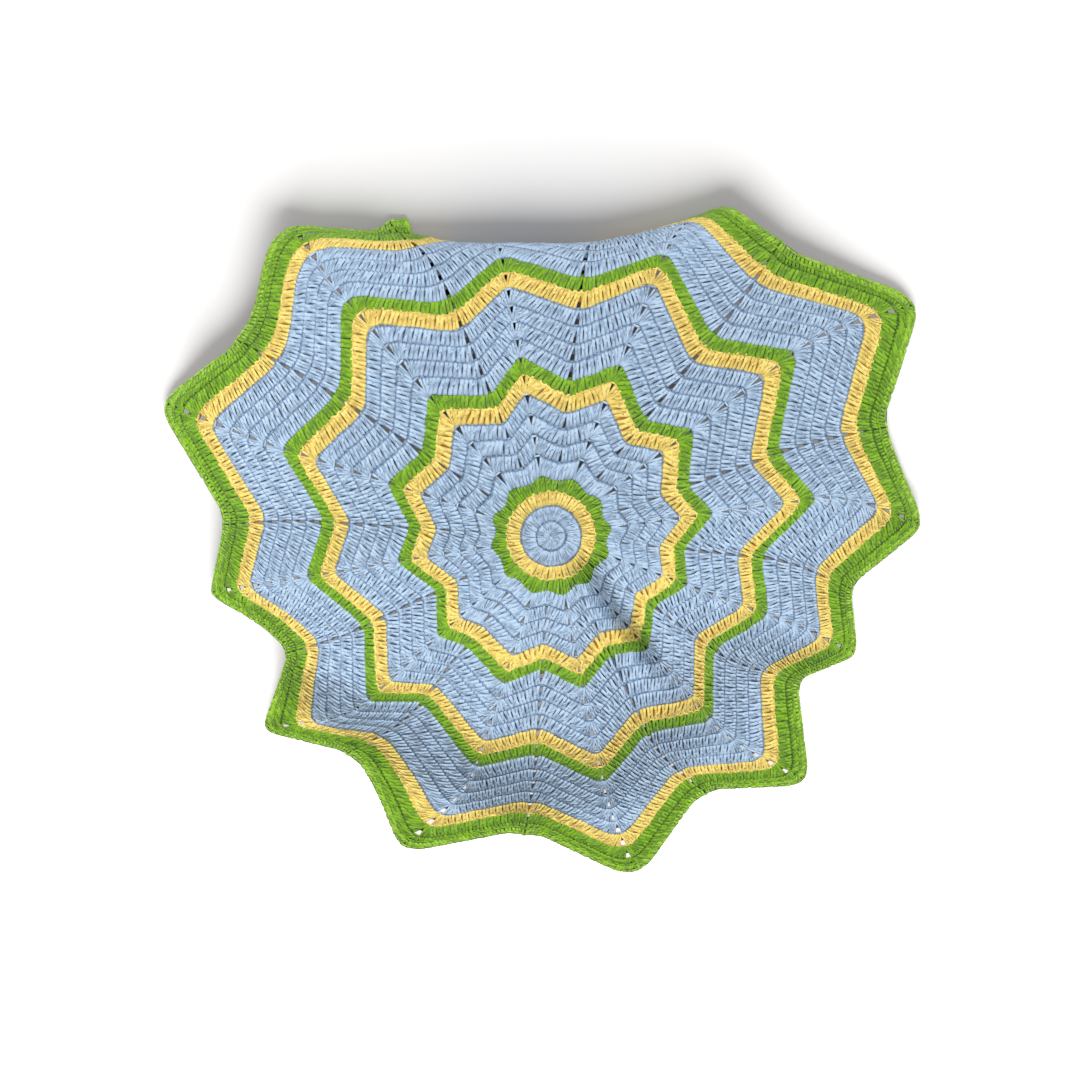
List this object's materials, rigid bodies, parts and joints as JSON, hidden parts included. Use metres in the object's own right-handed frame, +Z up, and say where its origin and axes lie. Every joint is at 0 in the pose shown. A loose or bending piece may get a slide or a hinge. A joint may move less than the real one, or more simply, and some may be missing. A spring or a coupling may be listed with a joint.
{
  "type": "star crochet baby blanket",
  "caption": "Round ripple baby blanket in treble crochet, a many-pointed star lying loose on a surface with its far side turned under itself.",
  "frame": {"origin": "centre of the blanket's box, on the surface that the blanket lies on", "axes": "+Z up from the surface, +Y towards the far side that is turned under, +X to the right"},
  "size_m": [0.708, 0.6224, 0.0632],
  "materials": {
    "crochet": "matt worsted yarn in treble crochet, light blue with yellow and green rounds"
  },
  "bodies": {
    "root": {"blanket": "crochet"}
  },
  "joints": []
}
